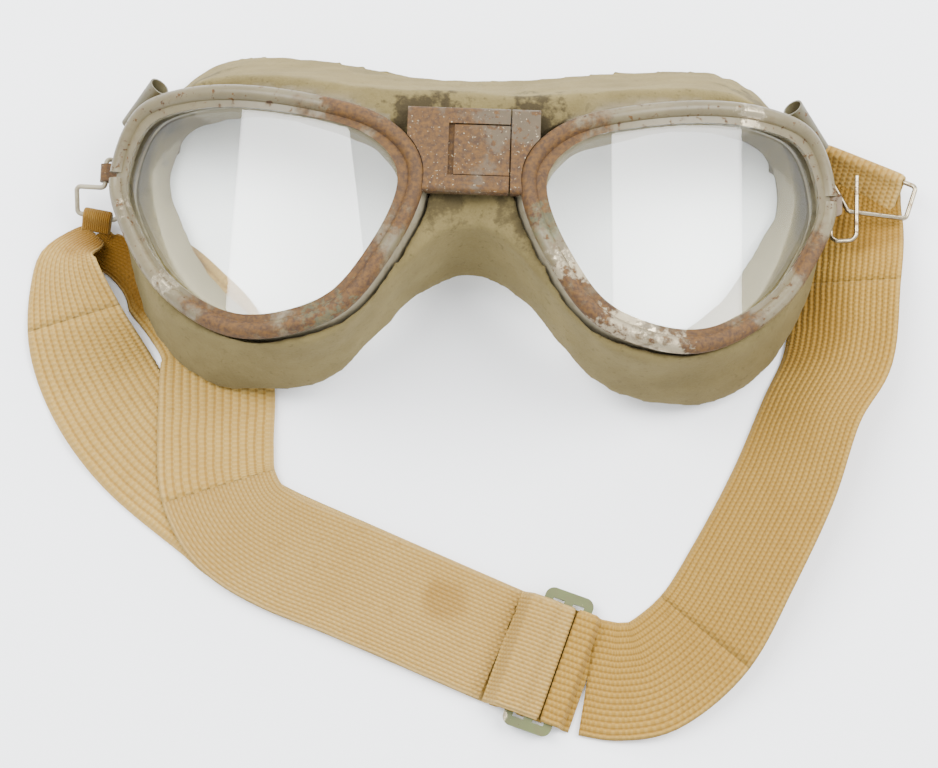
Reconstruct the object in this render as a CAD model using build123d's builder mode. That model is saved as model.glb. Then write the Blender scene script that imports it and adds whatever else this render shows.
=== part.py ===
# Flying goggles: two curved lenses in pressed rims, a sliding nose bridge, a one-piece face
# cushion and an elastic head strap with a three-bar slide.
# They lie on the cushion with the lenses up. X runs across the face, Y towards the brow and
# Z out through the lenses. The origin is under the bridge, on the plane the cushion rests on.
from build123d import *
import math
import os

os.makedirs("parts", exist_ok=True)

# Eye frames
rim_width = 89.0
rim_height = 67.6
rim_middle_y = -1.8
eye_spacing = 115.8
eye_height = 40.0
wrap_angle = 20.0
lens_curve = 95.0
bead_radius = 2.2
opening_inset = 6.2
rim_sheet = 1.2
rim_split = 1.6
fit_gap = 0.05
overrun = 30.0

# Rim outline from the temple round over the brow to the nose and back along the cheek,
# as shares of half the width and half the height
rim_shares = [
    (1.00, 0.44), (0.944, 0.70), (0.81, 0.925), (0.60, 1.00), (0.0, 0.97), (-0.50, 0.84),
    (-0.84, 0.66), (-1.00, 0.37), (-0.97, 0.0), (-0.80, -0.48), (-0.62, -0.80),
    (-0.34, -0.975), (0.0, -1.00), (0.32, -0.82), (0.64, -0.47), (0.88, -0.01),
]

# Lens, gasket and eyecup
lens_inset = 3.6
lens_thickness = 2.0
gasket_lip = 1.0
gasket_thickness = 0.7
cup_inset = 1.0
cup_sheet = 1.0
cup_depth = 9.0
cup_flange_width = 3.0

# Face cushion
cushion_half_width = 95.0
cushion_half_height = 50.0
cushion_middle_y = 5.0
cushion_taper_height = 46.0
cushion_waist_height = 16.0
cushion_waist_share = 0.61
cushion_rim_gap = 0.4
face_arch_height = 14.0
face_arch_half_span = 70.0
cheek_relief = 3.0
cheek_relief_start_y = 8.0
cheek_relief_run = 7.0
temple_relief = 6.0
temple_relief_start_x = 80.0
temple_relief_run = 14.0
eye_opening_width = 60.0
eye_opening_height = 56.0
eye_opening_x = 50.5
eye_opening_y = 3.5
eye_opening_level = 6.0
eye_mouth_inset = 5.0
eye_mouth_depth = 6.0

# Outline of the cushion's back edge and of its front edge, from over the bridge round the
# temple to the nose arch, as shares of the cushion's half width and half height
cushion_back_shares = [
    (0.0, 0.90), (0.23, 0.96), (0.485, 0.99), (0.695, 0.94), (0.83, 0.77), (0.938, 0.44),
    (1.0, 0.06), (0.985, -0.24), (0.90, -0.64), (0.76, -0.91), (0.548, -1.0), (0.39, -0.95),
    (0.274, -0.79), (0.158, -0.56), (0.0, -0.44),
]
cushion_front_shares = [
    (0.0, 0.48), (0.23, 0.49), (0.485, 0.53), (0.675, 0.52), (0.79, 0.47), (0.885, 0.31),
    (0.905, 0.02), (0.88, -0.20), (0.83, -0.48), (0.705, -0.70), (0.53, -0.82), (0.40, -0.81),
    (0.284, -0.66), (0.168, -0.40), (0.0, -0.16),
]

# Nose bridge
bridge_height = 22.3
bridge_middle_y = 14.15
bridge_top = 46.6
bridge_thickness = 4.0
bridge_corner = 1.1
bridge_reach = 17.0
bridge_wall = 1.25
channel_mouth_x = 9.3
window_height = 13.7
window_left_x = -6.4
tongue_gap = 0.1
tongue_thickness = 1.3
tongue_side_margin = 1.7
tongue_left_x = -9.0
pad_left_gap = 1.5
pad_side_gap = 0.3
pad_drop = 0.35
shoulder_gap = 0.4
shoulder_tail_x = 15.0

# Vent tubes
vent_radius = 2.8
vent_bore_radius = 2.35
vent_tail_radius = 1.7
vent_length = 15.5
vent_bore_depth = 9.0
vent_mouth_x = 83.7
vent_mouth_y = 35.1
vent_mouth_z = 23.0
vent_turn = -41.0
vent_dip = 38.0
vent_clearance = 0.4

# Temple fittings
lug_thickness = 1.0
lug_width = 5.4
lug_tip_x = 98.4
lug_root_x = 94.1
lug_y = 12.0
lug_z = 11.2
lug_corner = 1.2
knuckle_radius = 1.5
knuckle_x = 98.2
knuckle_y = 14.2
knuckle_width = 4.8
hook_wire = 1.2
hook_shaft_x = 102.2
hook_z = 12.3
hook_tip_y = 20.0
hook_bottom_y = 2.3
hook_bend_radius = 2.2
hook_return_x = 95.6
hook_end_y = 12.5
ring_wire = 1.3
ring_corner_radius = 1.2
ring_pass_gap = 0.25
ring_reach = 15.8
ring_tip_back = 2.4
ring_tip_drop = 0.3
ring_return = 2.6
ring_side_y = 6.6
ring_side_drop = 0.7
ring_corner_in = 2.0
ring_corner_y = 8.3
ring_far_x = 91.0
ring_far_y = 30.6
ring_far_z = 3.4
left_ring_end_play = 0.4
left_ring_reach = 7.6
left_ring_side_y = 10.4
left_ring_drop = 4.6
left_ring_near_y = 4.2
left_ring_far_x = 95.0
left_ring_far_y = 2.6
left_ring_far_z = 5.6
left_ring_inner_x = 95.2
left_ring_inner_z = 8.2

# Head strap
webbing_width = 31.0
webbing_thickness = 1.2
ply_gap = 0.15
loop_half_width = 118.0
loop_depth = 130.0
fold_bar_length = 4.0
fold_dip = 34.0
right_fold_share = 0.77
left_fold_share = 0.25
approach = 11.0
sewn_approach = 13.0

# Three-bar slide
slide_length = 38.0
slide_bar = 2.4
slide_slot = 3.0
slide_sheet = 1.2
slide_end_wall = 2.6
slide_corner = 2.4
slide_heading = 162.3
slide_x = 24.0
slide_y = -111.4


def save(piece, name):
    """Label one finished piece and write its file."""
    piece.part.label = name
    export_step(piece.part, f"parts/{name}.step")


def save_twin(piece, name):
    """Write the mirror image of a right-hand piece as its left-hand twin."""
    with BuildPart() as twin:
        mirror(piece.part, about=Plane.YZ)
    save(twin, name)


wrap = math.radians(wrap_angle)
right_eye = Plane(
    origin=(eye_spacing / 2, rim_middle_y, eye_height),
    x_dir=(math.cos(wrap), 0, -math.sin(wrap)),
    z_dir=(math.sin(wrap), 0, math.cos(wrap)),
)
curve_axis_x = eye_spacing / 2 - lens_curve * math.sin(wrap)
curve_axis_z = eye_height - lens_curve * math.cos(wrap)


def rim_points(inset):
    """Rim outline drawn in by an inset, on the flat eye plane."""
    half_width, half_height = rim_width / 2 - inset, rim_height / 2 - inset
    return [(across * half_width, up * half_height) for across, up in rim_shares]


def curved_band(outer_inset, inner_inset, top, depth):
    """Band between two rim outlines, bent to the lens curve.

    top is the height of its front face over the lens curve and depth its thickness.
    With no inner inset the band is a whole curved disc.
    """
    with BuildPart() as band:
        with BuildSketch(right_eye.offset(-overrun)):
            with BuildLine():
                Spline(*rim_points(outer_inset), periodic=True)
            make_face()
            if inner_inset is not None:
                with BuildLine():
                    Spline(*rim_points(inner_inset), periodic=True)
                make_face(mode=Mode.SUBTRACT)
        extrude(amount=2 * overrun)
        with BuildSketch(Plane.XZ):
            with Locations((curve_axis_x, curve_axis_z)):
                Circle(lens_curve + top)
                Circle(lens_curve + top - depth, mode=Mode.SUBTRACT)
        extrude(amount=rim_height, both=True, mode=Mode.INTERSECT)
    return band.part


def wire_form(points, corner, diameter):
    """Round wire bent through a list of points with one bend radius."""
    with BuildPart() as wire:
        with BuildLine() as route:
            FilletPolyline(*points, radius=corner)
        path = route.wire()
        with BuildSketch(Plane(origin=path @ 0, z_dir=path % 0)):
            Circle(diameter / 2)
        sweep(path=path)
    return wire.part


def closed_with_butt_joint(points):
    """Route of a closed wire ring that starts and ends in the middle of its last side."""
    first, last = Vector(*points[0]), Vector(*points[-1])
    middle, half_gap = (first + last) / 2, (first - last).normalized() * fit_gap
    return [middle + half_gap, *points, middle - half_gap]


# Rim: a rolled bead round the lens, split at the temple, with a flat flange inside it
flange = curved_band(bead_radius, opening_inset, rim_sheet / 2, rim_sheet)
with BuildPart() as right_rim:
    add(flange)
    with BuildLine() as bead_line:
        Spline(
            *[
                right_eye.from_local_coords((u, v, math.sqrt(lens_curve**2 - u**2) - lens_curve))
                for u, v in rim_points(bead_radius)
            ],
            periodic=True,
        )
    split_part = rim_split / 2 / bead_line.edge().length
    bead_path = bead_line.edge().trim(split_part, 1 - split_part)
    with BuildSketch(Plane(origin=bead_path @ 0, z_dir=bead_path % 0)):
        Circle(bead_radius)
    sweep(path=bead_path)
    add(curved_band(cup_inset + cup_sheet, None, -rim_sheet / 2, 2 * bead_radius), mode=Mode.SUBTRACT)
save(right_rim, "right_rim")
save_twin(right_rim, "left_rim")

# Lens: one curved disc held behind the flange
lens_top = -rim_sheet / 2 - fit_gap
with BuildPart() as right_lens:
    add(curved_band(lens_inset, None, lens_top, lens_thickness))
save(right_lens, "right_lens")
save_twin(right_lens, "left_lens")

# Gasket: a strip round the lens edge with a lip behind the glass
gasket_outer = cup_inset + cup_sheet + fit_gap
lip_top = lens_top - lens_thickness - fit_gap
with BuildPart() as right_lens_gasket:
    add(curved_band(gasket_outer, lens_inset - fit_gap, lens_top, lens_thickness + 2 * fit_gap))
    add(curved_band(gasket_outer, lens_inset + gasket_lip, lip_top, gasket_thickness))
save(right_lens_gasket, "right_lens_gasket")
save_twin(right_lens_gasket, "left_lens_gasket")

# Eyecup: the sheet wall behind the bead, turned in at the back to seat on the cushion
cup_top = -bead_radius - fit_gap
with BuildPart() as right_eyecup:
    add(curved_band(cup_inset, cup_inset + cup_sheet, cup_top, cup_depth + cup_top))
    add(curved_band(cup_inset, cup_inset + cup_flange_width, cup_sheet - cup_depth, cup_sheet))
save(right_eyecup, "right_eyecup")
save_twin(right_eyecup, "left_eyecup")

# Vent tube: a short tapered tube outside the upper temple, open towards the brow
vent_plane = Plane(
    origin=(vent_mouth_x, vent_mouth_y, vent_mouth_z),
    z_dir=(
        math.cos(math.radians(vent_turn)),
        math.sin(math.radians(vent_turn)),
        -math.tan(math.radians(vent_dip)),
    ),
)
with BuildPart() as right_vent_tube:
    with BuildSketch(vent_plane):
        Circle(vent_radius)
    with BuildSketch(vent_plane.offset(vent_length)):
        Circle(vent_tail_radius)
    loft()
    with BuildSketch(vent_plane):
        Circle(vent_bore_radius)
    with BuildSketch(vent_plane.offset(vent_bore_depth)):
        Circle(vent_tail_radius - vent_radius + vent_bore_radius)
    loft(mode=Mode.SUBTRACT)
save(right_vent_tube, "right_vent_tube")
save_twin(right_vent_tube, "left_vent_tube")

# Room that the vent tube needs in the cushion
with BuildPart() as vent_room:
    with BuildSketch(vent_plane.offset(-vent_radius)):
        Circle(vent_radius + vent_clearance)
    extrude(amount=vent_length + 2 * vent_radius)

# Right temple lug: a tapered tab that carries the open hook
with BuildPart() as right_temple_lug:
    with BuildSketch(Plane.XY.offset(lug_z)):
        with BuildLine():
            Polyline(
                (lug_root_x, lug_y - lug_width / 2 - lug_corner),
                (lug_tip_x, lug_y - lug_width / 2),
                (lug_tip_x, lug_y + lug_width / 2),
                (lug_root_x, lug_y + lug_width / 2 + lug_corner),
                close=True,
            )
        make_face()
    extrude(amount=lug_thickness)
    fillet(right_temple_lug.edges().filter_by(Axis.Z).group_by(Axis.X)[-1], radius=lug_corner)
save(right_temple_lug, "right_temple_lug")

# Room that the lug and the wires under it need in the cushion
with BuildPart() as lug_room:
    with BuildSketch(Plane.XY.offset(lug_z - knuckle_radius - hook_wire)):
        with Locations(((lug_root_x + lug_tip_x) / 2 - vent_clearance, lug_y)):
            Rectangle(lug_tip_x - lug_root_x + 2 * vent_clearance, 4 * lug_width)
    extrude(amount=2 * knuckle_radius + 2 * hook_wire)

# Left temple lug: a tab rolled into a knuckle round the strap ring
knuckle_bore = ring_wire / 2 + fit_gap
with BuildPart() as left_temple_lug:
    with BuildSketch(Plane.XZ.offset(-knuckle_y - knuckle_width / 2)):
        with Locations((-knuckle_x, lug_z + lug_thickness - knuckle_radius)):
            Circle(knuckle_radius)
        with Locations((-(knuckle_x + lug_root_x) / 2, lug_z + lug_thickness / 2)):
            Rectangle(knuckle_x - lug_root_x, lug_thickness)
        with Locations((-knuckle_x, lug_z + lug_thickness - knuckle_radius)):
            Circle(knuckle_bore, mode=Mode.SUBTRACT)
    extrude(amount=knuckle_width)
save(left_temple_lug, "left_temple_lug")

# Right hook: an open J of bright wire brazed under the lug
hook_points = [
    (hook_shaft_x, hook_tip_y, hook_z),
    (hook_shaft_x, hook_bottom_y, hook_z),
    (hook_return_x, hook_bottom_y, lug_z - hook_wire / 2),
    (hook_return_x, hook_end_y, lug_z - hook_wire / 2),
]
with BuildPart() as right_strap_hook:
    add(wire_form(hook_points, hook_bend_radius, hook_wire))
save(right_strap_hook, "right_strap_hook")

# Right strap ring: a closed wire triangle, one corner caught under the hook's shaft
ring_drop = (hook_wire + ring_wire) / 2 + ring_pass_gap
right_ring_points = [
    (hook_shaft_x + ring_reach, hook_tip_y - ring_tip_back, hook_z - ring_tip_drop),
    (hook_shaft_x + ring_reach - ring_return, hook_bottom_y + ring_side_y, hook_z - ring_side_drop),
    (hook_shaft_x - ring_corner_in, hook_bottom_y + ring_corner_y, hook_z - ring_drop),
    (ring_far_x, ring_far_y, ring_far_z),
]
tunnel_near, tunnel_far = Vector(*right_ring_points[0]), Vector(*right_ring_points[3])
with BuildPart() as right_strap_ring:
    add(wire_form(closed_with_butt_joint(right_ring_points), ring_corner_radius, ring_wire))
save(right_strap_ring, "right_strap_ring")

# Left strap ring: a closed painted wire loop that turns in the knuckle
knuckle_z = lug_z + lug_thickness - knuckle_radius
ring_straight = knuckle_width / 2 + left_ring_end_play + ring_corner_radius
left_ring_points = [
    (-left_ring_inner_x, knuckle_y + ring_straight, left_ring_inner_z),
    (-knuckle_x, knuckle_y + ring_straight, knuckle_z),
    (-knuckle_x, knuckle_y - ring_straight, knuckle_z),
    (-knuckle_x - left_ring_reach, left_ring_side_y, knuckle_z),
    (-knuckle_x - left_ring_reach, left_ring_near_y, knuckle_z - left_ring_drop),
    (-left_ring_far_x, left_ring_far_y, left_ring_far_z),
]
left_tunnel_near, left_tunnel_far = Vector(*left_ring_points[-2]), Vector(*left_ring_points[-1])
with BuildPart() as left_strap_ring:
    add(wire_form(closed_with_butt_joint(left_ring_points), ring_corner_radius, ring_wire))
save(left_strap_ring, "left_strap_ring")

# Bridge channel: a sheet folded to a C, open at the back, with a window in its front
bridge_sketch_plane = Plane.YZ.offset(-bridge_reach)
bridge_centre_z = bridge_top - bridge_thickness / 2
slot_height = bridge_height - 2 * tongue_side_margin
with BuildPart() as eye_room:
    add(curved_band(-fit_gap, None, overrun / 2, overrun + bridge_thickness))
with BuildPart() as bridge_channel:
    with BuildSketch(bridge_sketch_plane):
        with Locations((bridge_middle_y, bridge_centre_z)):
            RectangleRounded(bridge_height, bridge_thickness, bridge_corner)
        with Locations((bridge_middle_y, bridge_centre_z - bridge_wall)):
            Rectangle(slot_height, bridge_thickness, mode=Mode.SUBTRACT)
    extrude(amount=bridge_reach + channel_mouth_x)
    with BuildSketch(Plane.XY.offset(bridge_top)):
        with Locations(((window_left_x + channel_mouth_x) / 2, bridge_middle_y)):
            Rectangle(channel_mouth_x - window_left_x, window_height)
    extrude(amount=-bridge_wall, mode=Mode.SUBTRACT)
    mirror(eye_room.part, about=Plane.YZ, mode=Mode.SUBTRACT)
save(bridge_channel, "bridge_channel")

# Back plate: closes the channel behind the tongue
back_plate_thickness = bridge_thickness - bridge_wall - tongue_thickness - 2 * tongue_gap
with BuildPart() as bridge_back_plate:
    with BuildSketch(bridge_sketch_plane):
        with Locations(
            (bridge_middle_y, bridge_top - bridge_thickness + back_plate_thickness / 2)
        ):
            Rectangle(slot_height - 2 * fit_gap, back_plate_thickness)
    extrude(amount=bridge_reach + channel_mouth_x)
    mirror(eye_room.part, about=Plane.YZ, mode=Mode.SUBTRACT)
save(bridge_back_plate, "bridge_back_plate")

# Tongue: the plate that slides in the channel, with a raised pad that fills the window
tongue_top = bridge_top - bridge_wall - tongue_gap
with BuildPart() as bridge_tongue:
    with BuildSketch(Plane.XY.offset(tongue_top)):
        with Locations(((tongue_left_x + shoulder_tail_x) / 2, bridge_middle_y)):
            Rectangle(shoulder_tail_x - tongue_left_x, slot_height - 2 * tongue_gap)
    extrude(amount=-tongue_thickness)
    pad_left_x = window_left_x + pad_left_gap
    with BuildSketch(Plane.XY.offset(tongue_top)):
        with Locations(((pad_left_x + channel_mouth_x) / 2, bridge_middle_y)):
            Rectangle(channel_mouth_x - pad_left_x, window_height - 2 * pad_side_gap)
    extrude(amount=bridge_top - pad_drop - tongue_top)
    add(eye_room.part, mode=Mode.SUBTRACT)
save(bridge_tongue, "bridge_tongue")

# Shoulder: the right-hand half of the bridge that the tongue is set into
with BuildPart() as bridge_shoulder:
    with BuildSketch(Plane.YZ.offset(channel_mouth_x + shoulder_gap)):
        with Locations((bridge_middle_y, bridge_centre_z)):
            RectangleRounded(bridge_height, bridge_thickness, bridge_corner)
        with Locations((bridge_middle_y, tongue_top - tongue_thickness / 2)):
            Rectangle(
                slot_height - 2 * tongue_gap + 2 * fit_gap,
                tongue_thickness + 2 * fit_gap,
                mode=Mode.SUBTRACT,
            )
    extrude(amount=bridge_reach - channel_mouth_x - shoulder_gap)
    add(eye_room.part, mode=Mode.SUBTRACT)
save(bridge_shoulder, "bridge_shoulder")

# Face cushion: one flared block with two eye openings and a nose arch
def cushion_outline(shares):
    """Closed outline from half a table of shares, mirrored across the nose."""
    half = [
        (across * cushion_half_width, cushion_middle_y + up * cushion_half_height)
        for across, up in shares
    ]
    return half + [(-x, y) for x, y in half[-2:0:-1]]


waist_shares = [
    tuple(front + (back - front) * cushion_waist_share for front, back in zip(near, far))
    for near, far in zip(cushion_front_shares, cushion_back_shares)
]
arch_radius = (face_arch_half_span**2 + face_arch_height**2) / (2 * face_arch_height)
opening_half_width, opening_half_height = eye_opening_width / 2, eye_opening_height / 2
eye_opening_points = [
    (eye_opening_x + across * opening_half_width, eye_opening_y + up * opening_half_height)
    for across, up in rim_shares
]
with BuildPart() as eye_hollow:
    with BuildSketch(right_eye.offset(-eye_mouth_depth)):
        with BuildLine():
            Spline(*rim_points(eye_mouth_inset), periodic=True)
        make_face()
    with BuildSketch(Plane.XY.offset(eye_opening_level)):
        with BuildLine():
            Spline(*eye_opening_points, periodic=True)
        make_face()
    loft()
    with BuildSketch(Plane.XY.offset(eye_opening_level)):
        with BuildLine():
            Spline(*eye_opening_points, periodic=True)
        make_face()
    extrude(amount=-2 * eye_opening_level)
cup_room_inset = cup_inset - cushion_rim_gap
cup_room = curved_band(
    cup_room_inset, None, overrun / 2, overrun / 2 + cup_depth + cushion_rim_gap
)
with BuildPart() as face_cushion:
    for level, shares in (
        (0, cushion_back_shares),
        (cushion_waist_height, waist_shares),
        (cushion_taper_height, cushion_front_shares),
    ):
        with BuildSketch(Plane.XY.offset(level)):
            with BuildLine():
                Spline(*cushion_outline(shares), periodic=True)
            make_face()
    loft()
    with BuildSketch(Plane.XZ):
        with Locations((curve_axis_x, curve_axis_z), (-curve_axis_x, curve_axis_z)):
            Circle(lens_curve - bead_radius - cushion_rim_gap)
    extrude(amount=2 * cushion_half_height, both=True, mode=Mode.INTERSECT)
    with BuildSketch(Plane.XZ):
        with Locations((0, face_arch_height - arch_radius)):
            Circle(arch_radius)
    extrude(amount=2 * cushion_half_height, both=True, mode=Mode.SUBTRACT)
    cheek = (-cheek_relief_start_y, cheek_relief_run, cheek_relief)
    temple = (temple_relief_start_x, temple_relief_run, temple_relief)
    for (start, run, rise), plane in (
        (cheek, Plane.YZ.rotated((0, 0, 180))),
        (temple, Plane.XZ),
        (temple, Plane.XZ.rotated((0, 0, 180))),
    ):
        with BuildSketch(plane):
            with BuildLine():
                Polyline(
                    (start, 0),
                    (start + run, rise),
                    (start + cushion_half_width, rise),
                    (start + cushion_half_width, -rise),
                    (start, -rise),
                    close=True,
                )
            make_face()
        extrude(amount=2 * cushion_half_width, both=True, mode=Mode.SUBTRACT)
    with BuildSketch(Plane.XY.offset(bridge_top - bridge_thickness - cushion_rim_gap)):
        with Locations((0, bridge_middle_y)):
            Rectangle(2 * bridge_reach, bridge_height + 2 * cushion_rim_gap)
    extrude(amount=bridge_thickness, mode=Mode.SUBTRACT)
    for side in (cup_room, eye_hollow.part, vent_room.part, lug_room.part):
        add(side, mode=Mode.SUBTRACT)
        mirror(side, about=Plane.YZ, mode=Mode.SUBTRACT)
save(face_cushion, "face_cushion")


def along(origin_x, origin_y, heading, distance, aside, height):
    """Point at a distance along a heading, moved aside to its left and lifted."""
    turn = math.radians(heading)
    return (
        origin_x + distance * math.cos(turn) - aside * math.sin(turn),
        origin_y + distance * math.sin(turn) + aside * math.cos(turn),
        height,
    )


# Slide: a flat plate with two slots, its long side across the webbing
slide_depth = 3 * slide_bar + 2 * slide_slot
slide_bottom = 2 * webbing_thickness + 3 * ply_gap
slide_plane = Plane(
    origin=(slide_x, slide_y, slide_bottom),
    x_dir=(math.cos(math.radians(slide_heading)), math.sin(math.radians(slide_heading)), 0),
    z_dir=(0, 0, 1),
)
with BuildPart() as slide_buckle:
    with BuildSketch(slide_plane):
        RectangleRounded(slide_depth, slide_length, slide_corner)
        with GridLocations(slide_bar + slide_slot, 0, 2, 1):
            Rectangle(slide_slot, slide_length - 2 * slide_end_wall, mode=Mode.SUBTRACT)
    extrude(amount=slide_sheet)
save(slide_buckle, "slide_buckle")


def webbing(stations):
    """Flat band lofted through its stations.

    A station is a place, a heading, a sideways roll and the share of the full width.
    """
    with BuildPart() as band:
        for place, heading, roll, share in stations:
            turn, lean = math.radians(heading), math.radians(roll)
            across = (
                -math.sin(turn) * math.cos(lean),
                math.cos(turn) * math.cos(lean),
                math.sin(lean),
            )
            with BuildSketch(
                Plane(origin=place, x_dir=across, z_dir=(math.cos(turn), math.sin(turn), 0))
            ):
                Rectangle(webbing_width * share, webbing_thickness)
        loft(ruled=True)
    return band.part


def loop_stations(rows):
    """Stations from rows of shares of the strap loop's size."""
    return [
        ((x * loop_half_width, -y * loop_depth, lift * webbing_width), heading, roll, share)
        for x, y, lift, heading, roll, share in rows
    ]


def folded_end(near, far, share):
    """Webbing folded round a ring's straight side, with a short double bar that dips away."""
    tunnel = (far - near).normalized()
    level = Vector(-abs(tunnel.Y), -abs(tunnel.X), 0).normalized()
    up = Vector(-tunnel.Z * tunnel.X, -tunnel.Z * tunnel.Y, tunnel.X**2 + tunnel.Y**2).normalized()
    dip = math.radians(fold_dip)
    leaving = level * math.cos(dip) - up * math.sin(dip)
    fold_plane = Plane(origin=(near + far) / 2, x_dir=leaving, z_dir=tunnel)
    with BuildPart() as fold:
        with BuildSketch(fold_plane):
            Circle(ring_wire / 2 + ply_gap + webbing_thickness)
            with Locations((fold_bar_length / 2, 0)):
                Rectangle(fold_bar_length, 2 * webbing_thickness)
            Circle(ring_wire / 2 + ply_gap, mode=Mode.SUBTRACT)
        extrude(amount=webbing_width * share / 2, both=True)
    return fold.part


# Strap end on the right, sewn round the right ring
with BuildPart() as strap_right_end:
    add(folded_end(tunnel_near, tunnel_far, right_fold_share))
save(strap_right_end, "strap_right_end")

# Fold of the strap on the left, gathered in the left ring
with BuildPart() as strap_left_turn:
    add(folded_end(left_tunnel_near, left_tunnel_far, left_fold_share))
save(strap_left_turn, "strap_left_turn")

# Right run: one ply from the right ring down to the slide, its outer edge standing up.
# A row is x, y and lift as shares of the loop and the webbing, then heading, roll and width
right_run_shares = [
    (0.876, -0.152, 0.152, -115.6, 16.0, 0.77),
    (0.860, -0.070, 0.132, -108.0, 14.0, 0.93),
    (0.847, 0.062, 0.245, -100.0, 27.0, 1.0),
    (0.833, 0.216, 0.262, -103.0, 28.0, 1.0),
    (0.771, 0.336, 0.325, -107.0, 36.0, 1.0),
    (0.711, 0.492, 0.280, -112.0, 30.0, 1.0),
    (0.626, 0.657, 0.240, -122.0, 25.0, 1.0),
    (0.547, 0.788, 0.150, -140.0, 14.0, 1.0),
    (0.445, 0.872, 0.080, -160.0, 6.0, 1.0),
    (0.365, 0.890, 0.035, -182.0, 1.5, 1.0),
]
slide_turn = slide_heading - 360
entry = along(slide_x, slide_y, slide_heading, -approach, 0, webbing_thickness / 2)
with BuildPart() as strap_right_run:
    add(webbing(loop_stations(right_run_shares) + [(entry, slide_turn, 0, 1)]))
save(strap_right_run, "strap_right_run")

# Outer ply: from the slide back along the table and up round the left side to the left ring
outer_ply_shares = [
    (-0.227, 0.708, 0.020, 158.0, 0.0, 1.0),
    (-0.458, 0.622, 0.020, 152.0, 0.0, 1.0),
    (-0.547, 0.565, 0.020, 142.0, 0.0, 1.0),
    (-0.716, 0.446, 0.020, 128.0, 0.0, 1.0),
    (-0.822, 0.323, 0.020, 116.0, 0.0, 1.0),
    (-0.890, 0.192, 0.215, 103.0, -22.0, 0.92),
    (-0.915, 0.069, 0.255, 92.0, -38.0, 0.74),
    (-0.857, 0.009, 0.150, 81.6, 3.0, 0.25),
]
leave = along(slide_x, slide_y, slide_heading, approach, 0, webbing_thickness / 2)
with BuildPart() as strap_outer_ply:
    add(webbing([(leave, slide_heading, 0, 1)] + loop_stations(outer_ply_shares)))
save(strap_outer_ply, "strap_outer_ply")

# Return ply: from the left ring under the cushion, out below the cheek and back to the slide
return_ply_shares = [
    (-0.857, 0.009, 0.107, -98.4, -3.0, 0.25),
    (-0.836, 0.034, 0.060, -58.0, 0.0, 0.34),
    (-0.786, 0.055, 0.040, -42.0, 0.0, 0.43),
    (-0.716, 0.085, 0.029, -45.0, 0.0, 0.77),
    (-0.640, 0.148, 0.034, -59.6, 0.0, 0.86),
    (-0.575, 0.227, 0.063, -76.0, 0.0, 0.95),
    (-0.562, 0.330, 0.063, -87.0, 0.0, 1.0),
    (-0.559, 0.440, 0.063, -88.0, 0.0, 1.0),
    (-0.547, 0.523, 0.063, -72.0, 0.0, 1.0),
    (-0.496, 0.600, 0.063, -45.0, 0.0, 1.0),
    (-0.398, 0.654, 0.063, -22.0, 0.0, 1.0),
    (-0.227, 0.711, 0.063, -19.0, 0.0, 1.0),
]
upper_height = 3 * webbing_thickness / 2 + ply_gap
finish = along(slide_x, slide_y, slide_heading, sewn_approach, 0, upper_height)
with BuildPart() as strap_return_ply:
    add(webbing(loop_stations(return_ply_shares) + [(finish, slide_heading - 180, 0, 1)]))
save(strap_return_ply, "strap_return_ply")

# Threaded stretch: over the outer bars of the slide and under the middle one
slide_section = Plane(
    origin=(slide_x, slide_y, 0), x_dir=slide_plane.x_dir, z_dir=slide_plane.y_dir.reverse()
)
bar_edge = slide_bar / 2 + slide_slot
over_bar = slide_bottom + slide_sheet + ply_gap + webbing_thickness / 2
under_bar = webbing_thickness / 2 + ply_gap
thread_x = bar_edge - ply_gap - webbing_thickness / 2
thread_far_x = bar_edge + slide_bar + ply_gap + webbing_thickness
low = webbing_thickness / 2
thread_half = [(thread_x, under_bar), (thread_x, over_bar), (thread_far_x, over_bar)]
thread_tail = [(thread_far_x + webbing_thickness, low), (approach, low)]
thread_route = thread_half + thread_tail
with BuildPart() as strap_threaded:
    with BuildSketch(slide_section):
        with BuildLine():
            FilletPolyline(
                *[(-x, y) for x, y in reversed(thread_route)], *thread_route,
                radius=webbing_thickness / 2 + ply_gap,
            )
        trace(line_width=webbing_thickness)
    extrude(amount=webbing_width / 2, both=True)
save(strap_threaded, "strap_threaded")

# Sewn end: the strap's last stretch, wrapped round the middle bar
wrap_x = slide_bar / 2 + ply_gap + webbing_thickness / 2
wrap_low = slide_bottom - ply_gap - webbing_thickness / 2
top_run = over_bar + webbing_thickness + ply_gap
with BuildPart() as strap_sewn_end:
    with BuildSketch(slide_section):
        with BuildLine():
            FilletPolyline(
                (wrap_x, over_bar - webbing_thickness - ply_gap),
                (wrap_x, wrap_low),
                (-wrap_x, wrap_low),
                (-wrap_x, over_bar),
                (slide_bar / 2, over_bar),
                (thread_x, top_run),
                (thread_far_x + webbing_thickness, top_run),
                (sewn_approach - webbing_thickness, upper_height),
                (sewn_approach, upper_height),
                radius=webbing_thickness / 2 + ply_gap,
            )
        trace(line_width=webbing_thickness)
    extrude(amount=webbing_width / 2, both=True)
save(strap_sewn_end, "strap_sewn_end")
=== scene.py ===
# Flying goggles lying lenses up on a pale table, seen from nearly overhead.
import math

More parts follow.
